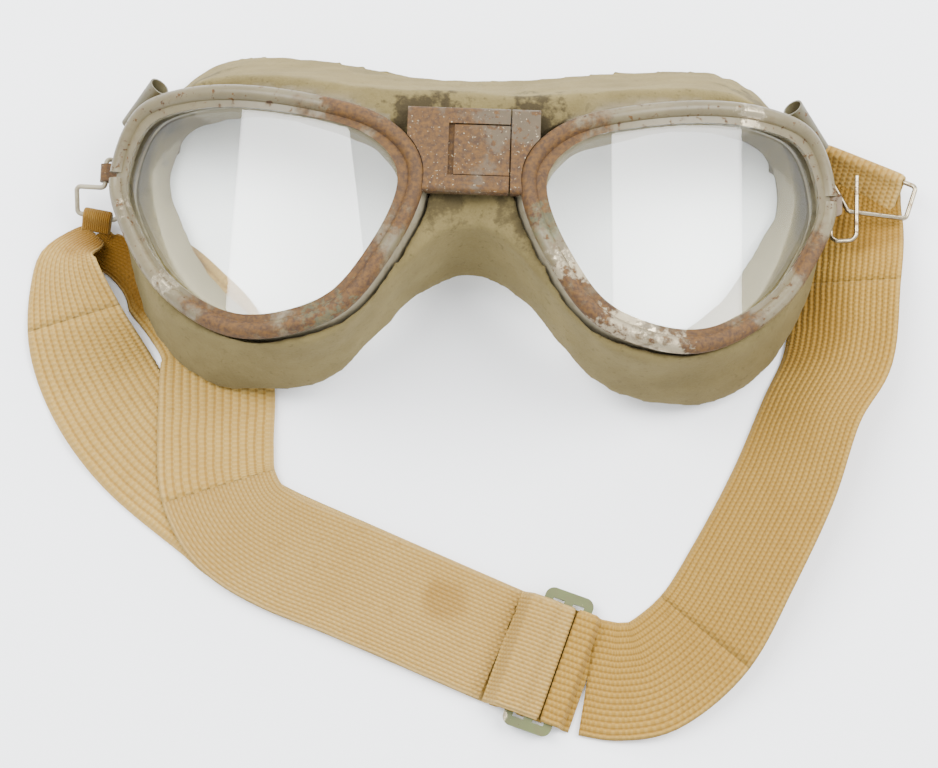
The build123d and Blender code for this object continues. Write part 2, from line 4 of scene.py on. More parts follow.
import bmesh
import bpy
import numpy as np
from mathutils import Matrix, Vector


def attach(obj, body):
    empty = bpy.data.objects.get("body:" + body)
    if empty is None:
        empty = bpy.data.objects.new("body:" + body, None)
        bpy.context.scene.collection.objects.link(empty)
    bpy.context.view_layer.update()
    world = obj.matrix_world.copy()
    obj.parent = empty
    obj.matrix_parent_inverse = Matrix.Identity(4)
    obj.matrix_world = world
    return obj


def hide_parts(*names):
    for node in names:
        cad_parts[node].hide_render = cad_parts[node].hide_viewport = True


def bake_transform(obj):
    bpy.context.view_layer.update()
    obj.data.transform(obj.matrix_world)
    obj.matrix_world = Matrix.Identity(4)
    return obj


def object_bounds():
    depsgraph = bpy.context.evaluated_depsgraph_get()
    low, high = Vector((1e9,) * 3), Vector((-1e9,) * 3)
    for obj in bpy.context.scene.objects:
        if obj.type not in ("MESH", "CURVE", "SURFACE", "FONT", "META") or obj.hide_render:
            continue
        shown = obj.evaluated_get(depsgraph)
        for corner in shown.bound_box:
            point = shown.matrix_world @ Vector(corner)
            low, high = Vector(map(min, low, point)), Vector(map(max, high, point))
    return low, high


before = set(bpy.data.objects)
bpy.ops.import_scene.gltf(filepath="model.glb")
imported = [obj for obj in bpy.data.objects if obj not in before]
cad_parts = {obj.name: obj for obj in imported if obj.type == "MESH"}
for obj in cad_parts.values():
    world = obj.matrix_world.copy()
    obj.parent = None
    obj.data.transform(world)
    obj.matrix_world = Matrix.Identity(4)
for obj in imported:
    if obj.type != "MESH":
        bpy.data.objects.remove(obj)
cad_low, cad_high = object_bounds()

# Table top and light. A matt pale board lit by a wide soft dome, by two tall soft boxes, one
# above each temple, which show as upright bands in the curved lenses, and by one at the brow.
def daylight(red, green, blue):
    """Linear colour from the 0 to 255 screen values, by the screen's own gamma curve."""
    share = np.array([red, green, blue]) / 255
    linear = np.where(share <= 0.04045, share / 12.92, ((share + 0.055) / 1.055) ** 2.4)
    return (*linear.tolist(), 1.0)


def pigment(red, green, blue):
    """Linear colour of a surface that this bright light shows as the screen values.

    The screen colour's distance from its own grey is multiplied by the vividness, and the
    result by the darkening, because strong light lifts and greys what the picture shows.
    """
    vividness, darkening = 1.55, 0.47
    linear = np.array(daylight(red, green, blue)[:3])
    grey = linear.mean()
    return (*np.clip(darkening * (grey + vividness * (linear - grey)), 0, 1).tolist(), 1.0)


def add_node(tree, kind, inputs=None, **options):
    """One shader node with its options set and each given input set or linked."""
    made = tree.nodes.new(kind)
    for name, value in options.items():
        setattr(made, name, value)
    for name, value in (inputs or {}).items():
        if isinstance(value, bpy.types.NodeSocket):
            tree.links.new(value, made.inputs[name])
        else:
            made.inputs[name].default_value = value
    return made


def mixed(tree, mask, first, second):
    """Colour that runs from the first to the second as the mask runs from 0 to 1."""
    made = add_node(tree, "ShaderNodeMix", {0: mask, 6: first, 7: second}, data_type="RGBA")
    return made.outputs[2]


def ramped(tree, value, low, high, out_low=0.0, out_high=1.0):
    """Smooth step of a value between two limits."""
    made = add_node(
        tree,
        "ShaderNodeMapRange",
        {0: value, 1: low, 2: high, 3: out_low, 4: out_high},
        interpolation_type="SMOOTHSTEP",
    )
    return made.outputs[0]


def worked(tree, operation, first, second=0.0):
    """Result of one arithmetic step on two values."""
    made = add_node(tree, "ShaderNodeMath", {0: first, 1: second}, operation=operation)
    return made.outputs[0]


def finish_named(name):
    """New material with its tree, its Principled shader and its Object coordinates."""
    made = bpy.data.materials.new(name)
    made.use_nodes = True
    tree = made.node_tree
    place = add_node(tree, "ShaderNodeTexCoord").outputs["Object"]
    return made, tree, tree.nodes["Principled BSDF"], place


def cover(thing, material):
    """Gives a piece or a frame node one material all over."""
    thing.data.materials.clear()
    thing.data.materials.append(material)


board_mesh = bpy.data.meshes.new("table_board")
board_half, board_level = 1.6, cad_low[2] - 0.0002
board_mesh.from_pydata(
    [(-board_half, -board_half, board_level), (board_half, -board_half, board_level),
     (board_half, board_half, board_level), (-board_half, board_half, board_level)],
    [], [(0, 1, 2, 3)],
)
table_board = bpy.data.objects.new("table_board", board_mesh)
bpy.context.collection.objects.link(table_board)
board_paint, tree, shader, place = finish_named("pale_board")
haze = add_node(tree, "ShaderNodeTexNoise", {"Vector": place, "Scale": 7.0, "Detail": 3.0})
tree.links.new(
    mixed(tree, haze.outputs[0], daylight(244, 245, 247), daylight(250, 251, 252)),
    shader.inputs["Base Color"],
)
shader.inputs["Roughness"].default_value = 0.65
shader.inputs["Specular IOR Level"].default_value = 0.2
cover(table_board, board_paint)

dome = bpy.data.worlds.new("soft_dome")
dome.use_nodes = True
dome.node_tree.nodes["Background"].inputs["Color"].default_value = (0.93, 0.96, 1.0, 1.0)
dome.node_tree.nodes["Background"].inputs["Strength"].default_value = 1.95
bpy.context.scene.world = dome

middle = Vector((0.0008, -0.040, 0.012))
for name, lean, tilt, away, width, length, power in (
    ("soft_box_right", 40.0, 14.0, 1.25, 0.56, 0.95, 26.0),
    ("soft_box_left", -28.0, 14.0, 1.25, 0.46, 0.95, 23.0),
    ("soft_box_brow", 0.0, 62.0, 1.5, 1.3, 0.5, 17.0),
):
    lamp = bpy.data.lights.new(name, "AREA")
    lamp.shape, lamp.size, lamp.size_y, lamp.energy = "RECTANGLE", width, length, power
    box = bpy.data.objects.new(name, lamp)
    bpy.context.collection.objects.link(box)
    side, fore = math.radians(lean), math.radians(tilt)
    aim = Vector((math.sin(side) * math.cos(fore), math.sin(fore), math.cos(side) * math.cos(fore)))
    box.location = middle + away * aim
    box.rotation_euler = aim.to_track_quat("Z", "Y").to_euler()

view_turn, view_height, view_away = math.radians(-2.0), math.radians(79.0), 0.740
sight = Vector((
    math.sin(view_turn) * math.cos(view_height),
    math.cos(view_turn) * math.cos(view_height),
    -math.sin(view_height),
))
lens_data = bpy.data.cameras.new("photo_camera")
lens_data.lens, lens_data.sensor_width, lens_data.sensor_fit = 108.0, 36.0, "HORIZONTAL"
lens_data.clip_start, lens_data.clip_end = 0.05, 10.0
camera = bpy.data.objects.new("photo_camera", lens_data)
bpy.context.collection.objects.link(camera)
camera.location = middle - view_away * sight
camera.rotation_euler = sight.to_track_quat("-Z", "Y").to_euler()
bpy.context.scene.camera = camera


# Lenses. Two sheets of clear glass bent to one curve, a little dusty and filmed over, each
# held behind the flange of its rim.
def effect(name, takes, gives):
    """New shader node group with its named inputs and outputs."""
    tree = bpy.data.node_groups.new(name, "ShaderNodeTree")
    for label, kind, value in takes:
        socket = tree.interface.new_socket(label, in_out="INPUT", socket_type=kind)
        if value is not None:
            socket.default_value = value
    for label, kind in gives:
        tree.interface.new_socket(label, in_out="OUTPUT", socket_type=kind)
    start, end = tree.nodes.new("NodeGroupInput"), tree.nodes.new("NodeGroupOutput")
    return tree, start.outputs, end.inputs


def apply_effect(tree, effect_tree, **inputs):
    """Places an effect group in a material and sets or links its inputs."""
    made = tree.nodes.new("ShaderNodeGroup")
    made.node_tree = effect_tree
    for name, value in inputs.items():
        socket = made.inputs[name]
        if isinstance(value, bpy.types.NodeSocket):
            tree.links.new(value, socket)
        else:
            socket.default_value = value
    return made.outputs


# Spots where noise passes a threshold: used for dust, film, grime, rust pits and speckles
spots, taken, given = effect(
    "spots",
    [("Vector", "NodeSocketVector", None), ("Scale", "NodeSocketFloat", 300.0),
     ("Amount", "NodeSocketFloat", 0.4), ("Softness", "NodeSocketFloat", 0.05),
     ("Detail", "NodeSocketFloat", 4.0)],
    [("Mask", "NodeSocketFloat"), ("Noise", "NodeSocketFloat")],
)
noise = add_node(
    spots, "ShaderNodeTexNoise",
    {"Vector": taken["Vector"], "Scale": taken["Scale"], "Detail": taken["Detail"],
     "Roughness": 0.6},
).outputs[0]
edge = worked(spots, "SUBTRACT", 1.0, taken["Amount"])
spots.links.new(
    ramped(spots, noise, worked(spots, "SUBTRACT", edge, taken["Softness"]),
           worked(spots, "ADD", edge, taken["Softness"])),
    given["Mask"],
)
spots.links.new(noise, given["Noise"])

lens_glass, tree, shader, place = finish_named("lens_glass")
dust = apply_effect(tree, spots, Vector=place, Scale=900.0, Amount=0.30, Softness=0.05)
film = apply_effect(tree, spots, Vector=place, Scale=45.0, Amount=0.45, Softness=0.25)
tree.links.new(
    mixed(tree, film["Mask"], (0.97, 0.985, 0.975, 1), (0.90, 0.92, 0.90, 1)),
    shader.inputs["Base Color"],
)
tree.links.new(
    worked(tree, "ADD", worked(tree, "MULTIPLY", dust["Mask"], 0.04), 0.015),
    shader.inputs["Roughness"],
)
shader.inputs["Transmission Weight"].default_value = 1.0
shader.inputs["IOR"].default_value = 1.5
clear_way = add_node(tree, "ShaderNodeBsdfTransparent", {"Color": (0.93, 0.95, 0.94, 1)})
rays = add_node(tree, "ShaderNodeLightPath")
thin = add_node(
    tree, "ShaderNodeMixShader",
    {0: rays.outputs["Is Shadow Ray"], 1: shader.outputs[0], 2: clear_way.outputs[0]},
)
tree.links.new(thin.outputs[0], tree.nodes["Material Output"].inputs["Surface"])
for side in ("left", "right"):
    cover(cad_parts[f"{side}_lens"], lens_glass)

# Gaskets. A dark strip of old rubber, dry and dusty, that runs round each lens and seats it
# in its rim.
gasket_rubber, tree, shader, place = finish_named("gasket_rubber")
dry = apply_effect(tree, spots, Vector=place, Scale=350.0, Amount=0.45, Softness=0.15)
tree.links.new(
    mixed(tree, dry["Mask"], pigment(38, 33, 28), pigment(86, 78, 66)),
    shader.inputs["Base Color"],
)
shader.inputs["Roughness"].default_value = 0.8
for side in ("left", "right"):
    cover(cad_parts[f"{side}_lens_gasket"], gasket_rubber)

# Rims. Rolled sheet painted pale grey-beige, worn bright in places on the bead and rusted
# brown near the bridge and along the cheeks.
stain, taken, given = effect(
    "stain_round_a_place",
    [("Vector", "NodeSocketVector", None), ("Place", "NodeSocketVector", None),
     ("Size", "NodeSocketFloat", 0.01), ("Ragged", "NodeSocketFloat", 0.5),
     ("Grain", "NodeSocketFloat", 250.0)],
    [("Mask", "NodeSocketFloat")],
)
away = add_node(
    stain, "ShaderNodeVectorMath", {0: taken["Vector"], 1: taken["Place"]}, operation="DISTANCE"
).outputs["Value"]
wander = add_node(
    stain, "ShaderNodeTexNoise",
    {"Vector": taken["Vector"], "Scale": taken["Grain"], "Detail": 5.0, "Roughness": 0.65},
).outputs[0]
reach = worked(stain, "DIVIDE", away, taken["Size"])
torn = worked(stain, "MULTIPLY", worked(stain, "SUBTRACT", wander, 0.5), taken["Ragged"])
stain.links.new(
    ramped(
        stain, worked(stain, "ADD", reach, worked(stain, "MULTIPLY", torn, 4.0)),
        0.55, 1.15, 1.0, 0.0,
    ),
    given["Mask"],
)


def any_of(tree, masks):
    """Largest of several masks at each point."""
    result = masks[0]
    for mask in masks[1:]:
        result = worked(tree, "MAXIMUM", result, mask)
    return result


def worn_paint(name, paint, rusty_places, bright_places, green_places, rust_amount, speckle):
    """Aged painted sheet: paint, with rust, bright metal and a green tinge at their places."""
    made, tree, shader, place = finish_named(name)
    cloud = apply_effect(tree, spots, Vector=place, Scale=60.0, Amount=0.5, Softness=0.3)
    grime = apply_effect(tree, spots, Vector=place, Scale=420.0, Amount=0.42, Softness=0.12)
    pits = apply_effect(
        tree, spots, Vector=place, Scale=520.0, Amount=rust_amount, Softness=0.04, Detail=6.0
    )
    colour = mixed(tree, cloud["Mask"], paint, tuple(0.72 * c for c in paint[:3]) + (1,))
    colour = mixed(
        tree, worked(tree, "MULTIPLY", grime["Mask"], 0.35), colour, pigment(104, 88, 66)
    )
    rust_grain = apply_effect(tree, spots, Vector=place, Scale=900.0, Amount=0.5, Softness=0.2)
    rust = mixed(tree, rust_grain["Mask"], pigment(66, 46, 28), pigment(108, 80, 50))
    rust_mask = pits["Mask"]
    for spot, size in rusty_places:
        near = apply_effect(
            tree, stain, Vector=place, Place=spot, Size=size, Ragged=0.55, Grain=160.0
        )
        rust_mask = any_of(tree, [rust_mask, near["Mask"]])
    colour = mixed(tree, rust_mask, colour, rust)
    bright = apply_effect(
        tree, spots, Vector=place, Scale=1400.0, Amount=speckle, Softness=0.03, Detail=3.0
    )["Mask"]
    for spot, size in bright_places:
        near = apply_effect(
            tree, stain, Vector=place, Place=spot, Size=size, Ragged=0.9, Grain=420.0
        )
        bright = any_of(tree, [bright, near["Mask"]])
    colour = mixed(tree, bright, colour, pigment(206, 196, 176))
    for spot, size in green_places:
        near = apply_effect(
            tree, stain, Vector=place, Place=spot, Size=size, Ragged=1.3, Grain=500.0
        )
        colour = mixed(
            tree, worked(tree, "MULTIPLY", near["Mask"], 0.3), colour, pigment(112, 130, 108)
        )
    tree.links.new(colour, shader.inputs["Base Color"])
    tree.links.new(worked(tree, "MULTIPLY", bright, 0.9), shader.inputs["Metallic"])
    rough = ramped(tree, rust_mask, 0.0, 1.0, 0.42, 0.78)
    rough = worked(tree, "SUBTRACT", rough, worked(tree, "MULTIPLY", bright, 0.18))
    tree.links.new(rough, shader.inputs["Roughness"])
    crust = worked(tree, "MULTIPLY", rust_grain["Noise"], rust_mask)
    height = worked(tree, "SUBTRACT", crust, bright)
    bump = add_node(
        tree, "ShaderNodeBump", {"Height": height, "Strength": 0.35, "Distance": 0.0003}
    )
    tree.links.new(bump.outputs[0], shader.inputs["Normal"])
    return made


rim_paint = worn_paint(
    "rim_paint",
    pigment(132, 123, 100),
    [((-0.018, 0.010, 0.045), 0.020), ((0.018, 0.010, 0.045), 0.020),
     ((-0.030, -0.028, 0.044), 0.022), ((0.030, -0.030, 0.044), 0.016),
     ((-0.060, -0.036, 0.038), 0.018), ((0.062, -0.036, 0.038), 0.018),
     ((-0.028, 0.026, 0.045), 0.016), ((0.090, -0.006, 0.024), 0.010)],
    [((0.026, -0.014, 0.044), 0.006), ((0.040, -0.030, 0.042), 0.008),
     ((0.050, -0.036, 0.041), 0.006), ((0.072, 0.028, 0.036), 0.004),
     ((-0.078, -0.020, 0.030), 0.004), ((-0.092, 0.004, 0.024), 0.004)],
    [((-0.034, -0.033, 0.042), 0.008), ((0.020, -0.004, 0.045), 0.005)],
    0.38, 0.24,
)
for side in ("left", "right"):
    cover(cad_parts[f"{side}_rim"], rim_paint)

# Eyecups. Sheet walls behind the rims, painted the same beige inside and out. The painted
# wire ring at the left temple has the same finish.
cup_paint = worn_paint(
    "cup_paint",
    pigment(196, 188, 168),
    [((-0.094, 0.012, 0.012), 0.004)],
    [((0.098, 0.010, 0.012), 0.003)],
    [],
    0.28, 0.22,
)
for name in ("left_eyecup", "right_eyecup", "left_strap_ring"):
    cover(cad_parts[name], cup_paint)

# Vent tubes. A short tapered metal tube outside each upper temple, with its mouth open to
# the brow.
vent_metal = worn_paint("vent_metal", pigment(120, 114, 94), [], [], [], 0.36, 0.24)
for name in ("left_vent_tube", "right_vent_tube"):
    cover(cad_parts[name], vent_metal)

# Bridge. A folded channel on the left and a plain plate with a tongue on the right, steel
# that has rusted to an even brown with fine silvery speckles.
bridge_metal = worn_paint(
    "bridge_metal",
    pigment(88, 74, 52),
    [((-0.010, 0.014, 0.046), 0.016), ((0.012, 0.006, 0.046), 0.012)],
    [],
    [],
    0.43, 0.33,
)
for name in ("bridge_channel", "bridge_back_plate", "bridge_tongue", "bridge_shoulder"):
    cover(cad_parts[name], bridge_metal)

# Temple fittings. Brown lugs, and on the right a hook and ring of bright nickelled wire,
# dulled in patches.
lug_metal = worn_paint(
    "lug_metal", pigment(150, 132, 112), [((-0.097, 0.014, 0.012), 0.004)], [], [], 0.42, 0.33
)
for name in ("left_temple_lug", "right_temple_lug"):
    cover(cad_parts[name], lug_metal)
bright_wire, tree, shader, place = finish_named("bright_wire")
dulled = apply_effect(tree, spots, Vector=place, Scale=500.0, Amount=0.42, Softness=0.12)
tree.links.new(
    mixed(tree, dulled["Mask"], pigment(214, 204, 184), pigment(140, 116, 88)),
    shader.inputs["Base Color"],
)
tree.links.new(ramped(tree, dulled["Mask"], 0.0, 1.0, 0.22, 0.5), shader.inputs["Roughness"])
shader.inputs["Metallic"].default_value = 1.0
for name in ("right_strap_hook", "right_strap_ring"):
    cover(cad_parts[name], bright_wire)


# Face cushion. Sponge rubber covered in thin olive-tan suede, one piece across the nose, with
# a raw nicked edge at the back and soot-like stains beside the bridge.
def merged_copy(node, name, voxel):
    """Closed even-faced copy of a frame node's mesh, made by merging and voxel remeshing."""
    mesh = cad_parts[node].data.copy()
    shell = bmesh.new()
    shell.from_mesh(mesh)
    bmesh.ops.remove_doubles(shell, verts=shell.verts, dist=1e-6)
    bmesh.ops.recalc_face_normals(shell, faces=shell.faces)
    shell.to_mesh(mesh)
    shell.free()
    made = bpy.data.objects.new(name, mesh)
    bpy.context.collection.objects.link(made)
    remesh = made.modifiers.new("even", "REMESH")
    remesh.mode, remesh.voxel_size = "VOXEL", voxel
    solid = bpy.data.meshes.new_from_object(
        made.evaluated_get(bpy.context.evaluated_depsgraph_get())
    )
    made.modifiers.clear()
    made.data = solid
    made.data.materials.clear()
    made.data.polygons.foreach_set("use_smooth", np.ones(len(solid.polygons), dtype=bool))
    return made


def vertex_places(thing):
    """All vertex positions of a piece as one array."""
    flat = np.empty(len(thing.data.vertices) * 3, dtype=np.float32)
    thing.data.vertices.foreach_get("co", flat)
    return flat.reshape(-1, 3).astype(float)


def set_places(thing, places):
    """Writes an array of vertex positions back into a piece."""
    thing.data.vertices.foreach_set("co", places.astype(np.float32).ravel())
    thing.data.update()


def eased(places, edges, rounds, share):
    """Each point moves a share of the way to the mean of its neighbours, several times."""
    count = np.bincount(edges.ravel(), minlength=len(places))[:, None]
    for _ in range(rounds):
        total = np.zeros_like(places)
        np.add.at(total, edges[:, 0], places[edges[:, 1]])
        np.add.at(total, edges[:, 1], places[edges[:, 0]])
        places = places + share * (total / np.maximum(count, 1) - places)
    return places


def rolling(places, pitch, seed, octaves=3):
    """Smooth irregular waves: sums of sines along seeded directions, halving each octave."""
    chance = np.random.default_rng(seed)
    total = np.zeros(len(places))
    for octave in range(octaves):
        for _ in range(5):
            course = chance.normal(size=3)
            course /= np.linalg.norm(course)
            turn = 2 * math.pi / (pitch * chance.uniform(0.7, 1.4)) * 2**octave
            total += np.sin(places @ course * turn + chance.uniform(0, 6.28)) * 0.5**octave
    return total / 5


cushion_voxel = 0.0013
dent_depth, dent_pitch, dent_swell_most = 0.0009, 0.034, 0.0001
nick_depth, nick_pitch, nick_height = 0.0016, 0.012, 0.009
hollow_x, hollow_y, hollow_half_width, hollow_half_height = 0.0515, 0.004, 0.030, 0.027
face_cushion = merged_copy("face_cushion", "suede_face_cushion", cushion_voxel)
places = vertex_places(face_cushion)
edges = np.empty(len(face_cushion.data.edges) * 2, dtype=np.int32)
face_cushion.data.edges.foreach_get("vertices", edges)
edges = edges.reshape(-1, 2)
places = eased(places, edges, rounds=6, share=0.5)
normals = np.empty(len(places) * 3, dtype=np.float32)
face_cushion.data.vertices.foreach_get("normal", normals)
normals = normals.reshape(-1, 3)
outline_dent = dent_depth * (rolling(places, dent_pitch, seed=11) - 0.6)
back_edge = np.clip(1 - places[:, 2] / nick_height, 0, 1) * (np.abs(normals[:, 2]) < 0.75)
nick_waves = rolling(places * [1, 1, 0.2], nick_pitch, seed=12)
nicks = np.clip(nick_waves - 0.35, 0, 1) * nick_depth * back_edge
places = places + normals * (np.minimum(outline_dent, dent_swell_most) - nicks)[:, None]
places[:, 2] = np.maximum(places[:, 2], cad_low[2])
set_places(face_cushion, places)
lining = np.zeros(len(places))
for side in (-1, 1):
    away = (places[:, :2] - [side * hollow_x, hollow_y]) / [hollow_half_width, hollow_half_height]
    reach = np.linalg.norm(away, axis=1)
    inward = -(normals[:, :2] * away).sum(1) / np.maximum(reach, 1e-6)
    lining = np.maximum(lining, (reach < 1.2) * np.clip(3 * inward, 0, 1))

# Walls that face the middle of an eye hollow are marked, and take the pale lining's colour
face_cushion.data.attributes.new("lining", "FLOAT", "POINT").data.foreach_set(
    "value", lining.astype(np.float32)
)

cushion_suede, tree, shader, place = finish_named("cushion_suede")
nap_relief_and_highlight = apply_effect(tree, spots, Vector=place, Scale=1500.0, Amount=0.5, Softness=0.3, Detail=5.0)
patch = apply_effect(tree, spots, Vector=place, Scale=70.0, Amount=0.5, Softness=0.22, Detail=5.0)
fleck = apply_effect(tree, spots, Vector=place, Scale=600.0, Amount=0.37, Softness=0.06, Detail=6.0)
colour = mixed(tree, patch["Mask"], pigment(116, 106, 82), pigment(137, 126, 99))
colour = mixed(tree, worked(tree, "MULTIPLY", fleck["Mask"], 0.6), colour, pigment(84, 76, 58))
# Raised nap lightened: painted highlight on the nap's tips, whose noise also makes the bump
colour = mixed(tree, worked(tree, "MULTIPLY", nap_relief_and_highlight["Mask"], 0.25), colour, pigment(160, 150, 122))
for spot, size, depth in (
    ((-0.0115, 0.022, 0.038), 0.010, 0.85), ((0.0165, 0.022, 0.038), 0.010, 0.85),
    ((-0.0105, 0.004, 0.038), 0.009, 0.6), ((0.0155, 0.000, 0.038), 0.009, 0.6),
    ((-0.070, 0.034, 0.020), 0.008, 0.7), ((0.074, 0.036, 0.020), 0.008, 0.7),
    ((-0.083, 0.030, 0.014), 0.006, 0.6), ((0.050, 0.050, 0.006), 0.006, 0.3),
    ((-0.030, 0.044, 0.018), 0.006, 0.25),
):
    soot = apply_effect(tree, stain, Vector=place, Place=spot, Size=size, Ragged=0.8, Grain=220.0)
    colour = mixed(tree, worked(tree, "MULTIPLY", soot["Mask"], depth), colour, pigment(52, 46, 38))
lined = add_node(tree, "ShaderNodeAttribute", attribute_name="lining").outputs["Fac"]
smudge = apply_effect(
    tree, spots, Vector=place, Scale=130.0, Amount=0.33, Softness=0.06, Detail=5.0
)
smudged = worked(tree, "MULTIPLY", smudge["Mask"], 0.6)
wall = mixed(tree, smudged, pigment(178, 170, 151), pigment(66, 68, 76))
colour = mixed(tree, lined, colour, wall)
tree.links.new(colour, shader.inputs["Base Color"])
shader.inputs["Roughness"].default_value = 0.95
shader.inputs["Specular IOR Level"].default_value = 0.15
shader.inputs["Sheen Weight"].default_value = 0.35
shader.inputs["Sheen Roughness"].default_value = 0.6
shader.inputs["Sheen Tint"].default_value = pigment(180, 170, 140)
weave = worked(tree, "ADD", worked(tree, "MULTIPLY", nap_relief_and_highlight["Noise"], 0.5), patch["Noise"])
bump = add_node(tree, "ShaderNodeBump", {"Height": weave, "Strength": 0.45, "Distance": 0.0006})
tree.links.new(bump.outputs[0], shader.inputs["Normal"])
cover(face_cushion, cushion_suede)
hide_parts("face_cushion")
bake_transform(face_cushion)


# Head strap. One length of ribbed elastic webbing, 31 mm wide, beige with knitted ribs along
# it and painted highlight along its selvedges, sewn round the right ring and threaded through the
# slide.
webbing_width, webbing_thickness, ply_gap = 0.031, 0.0012, 0.00015
loop_half_width, loop_depth = 0.118, 0.130


def smooth_rows(rows, steps):
    """Catmull-Rom curve through table rows, sampled evenly between each pair of rows.

    Between rows b and c, with a before and d after, the row at share t is half of
    2b + (c - a)t + (2a - 5b + 4c - d)t^2 + (3b - a - 3c + d)t^3.
    """
    rows = np.array(rows, float)
    before = np.vstack([2 * rows[:1] - rows[1:2], rows, 2 * rows[-1:] - rows[-2:-1]])
    t = np.linspace(0, 1, steps, endpoint=False)[:, None]
    spans = [
        0.5 * (
            2 * b + (c - a) * t + (2 * a - 5 * b + 4 * c - d) * t**2
            + (3 * b - a - 3 * c + d) * t**3
        )
        for a, b, c, d in zip(before[:-3], before[1:-2], before[2:-1], before[3:])
    ]
    return np.vstack([*spans, rows[-1:]])


def from_loop(rows):
    """Rows in metres and degrees from rows of shares of the strap loop's size.

    A row holds x, y, height, heading along the band, lean across it and width.
    """
    table = np.array(rows, float)
    return table * [loop_half_width, -loop_depth, webbing_width, 1, 1, webbing_width]


def band_mesh(name, centre, across, width, start_length=0.0, along=None):
    """Closed flat band carried along a path.

    Its section is a flat rounded bar: points run across the top face and back across the
    under face, offset by half the thickness along the path's normal, and rounded off thin
    at both selvedges. The UV map holds the distance along and across in metres. The
    directions along the path come from the whole band where it is one stretch of it, so
    neighbouring stretches end in the same section. A section that would reach under the
    table is raised until it rests on it.
    """
    columns, edge_roundness, edge_least = 29, 14, 0.02
    share = np.linspace(-0.5, 0.5, columns)
    along = np.gradient(centre, axis=0) if along is None else along.copy()
    along /= np.linalg.norm(along, axis=1)[:, None]
    across = across - (across * along).sum(1)[:, None] * along
    across /= np.linalg.norm(across, axis=1)[:, None]
    up = np.cross(along, across)
    gone = start_length + np.concatenate(
        [[0], np.cumsum(np.linalg.norm(np.diff(centre, axis=0), axis=1))]
    )
    sideways = (share[None, :, None] * width[:, None, None]) * across[:, None, :]
    spread = centre[:, None, :] + sideways
    rounding = np.clip(1 - (np.abs(share) * 2) ** edge_roundness, edge_least, 1)
    half = webbing_thickness / 2 * np.sqrt(rounding)
    top = spread + half[None, :, None] * up[:, None, :]
    low = spread - half[None, :, None] * up[:, None, :]
    ring = np.concatenate([top, low[:, ::-1]], axis=1)
    ring[..., 2] += np.maximum(cad_low[2] - ring[..., 2].min(1), 0)[:, None]
    rows, around = ring.shape[:2]
    index = np.arange(rows * around).reshape(rows, around)
    a, b = index[:-1], index[1:]
    quads = np.stack([a, np.roll(a, -1, 1), np.roll(b, -1, 1), b], -1).reshape(-1, 4)
    caps = []
    for row, turned in ((index[0], False), (index[-1], True)):
        back = row[::-1]
        face = np.stack(
            [row[: columns - 1], back[: columns - 1], back[1:columns], row[1:columns]], -1
        )
        caps.append(face[:, ::-1] if turned else face)
    faces = np.vstack([quads, *caps])
    mesh = bpy.data.meshes.new(name)
    mesh.from_pydata(ring.reshape(-1, 3).tolist(), [], faces.tolist())
    side = np.concatenate([share, share[::-1]]) * webbing_width
    chart = np.stack(
        [np.broadcast_to(gone[:, None], (rows, around)),
         np.broadcast_to(side[None], (rows, around))], -1
    ).reshape(-1, 2)
    corners = np.empty(len(mesh.loops), dtype=np.int32)
    mesh.loops.foreach_get("vertex_index", corners)
    mesh.uv_layers.new(name="along_and_across").data.foreach_set("uv", chart[corners].ravel())
    mesh.polygons.foreach_set("use_smooth", np.arange(len(mesh.polygons)) < len(quads))
    shell = bmesh.new()
    shell.from_mesh(mesh)
    bmesh.ops.recalc_face_normals(shell, faces=shell.faces)
    shell.to_mesh(mesh)
    shell.free()
    made = bpy.data.objects.new(name, mesh)
    bpy.context.collection.objects.link(made)
    return made, gone[-1] - start_length


# Knit: ribs are a sine across the band, and loops a sine along it that is set off by half a
# loop from one rib to the next. Beside the height it gives painted shade and painted highlight
# masks
knit, taken, given = effect(
    "elastic_knit",
    [("Along", "NodeSocketFloat", 0.0), ("Across", "NodeSocketFloat", 0.0),
     ("Pitch", "NodeSocketFloat", 0.0022), ("Loop", "NodeSocketFloat", 0.0011)],
    [("Height", "NodeSocketFloat"), ("Groove_Shade", "NodeSocketFloat"), ("Loop_Highlight", "NodeSocketFloat")],
)
full_turn = 2 * math.pi
rib_phase = worked(knit, "DIVIDE", taken["Across"], taken["Pitch"])
loop_phase = worked(knit, "DIVIDE", taken["Along"], taken["Loop"])
rib = worked(knit, "SINE", worked(knit, "MULTIPLY", rib_phase, full_turn))
shift = worked(knit, "MULTIPLY", worked(knit, "FLOOR", rib_phase), 0.5)
staggered = worked(knit, "ADD", loop_phase, shift)
loops = worked(knit, "SINE", worked(knit, "MULTIPLY", staggered, full_turn))
knit.links.new(worked(knit, "ADD", rib, worked(knit, "MULTIPLY", loops, 0.45)), given["Height"])
knit.links.new(ramped(knit, rib, -0.2, -0.95), given["Groove_Shade"])
knit.links.new(ramped(knit, loops, -0.4, 0.9), given["Loop_Highlight"])


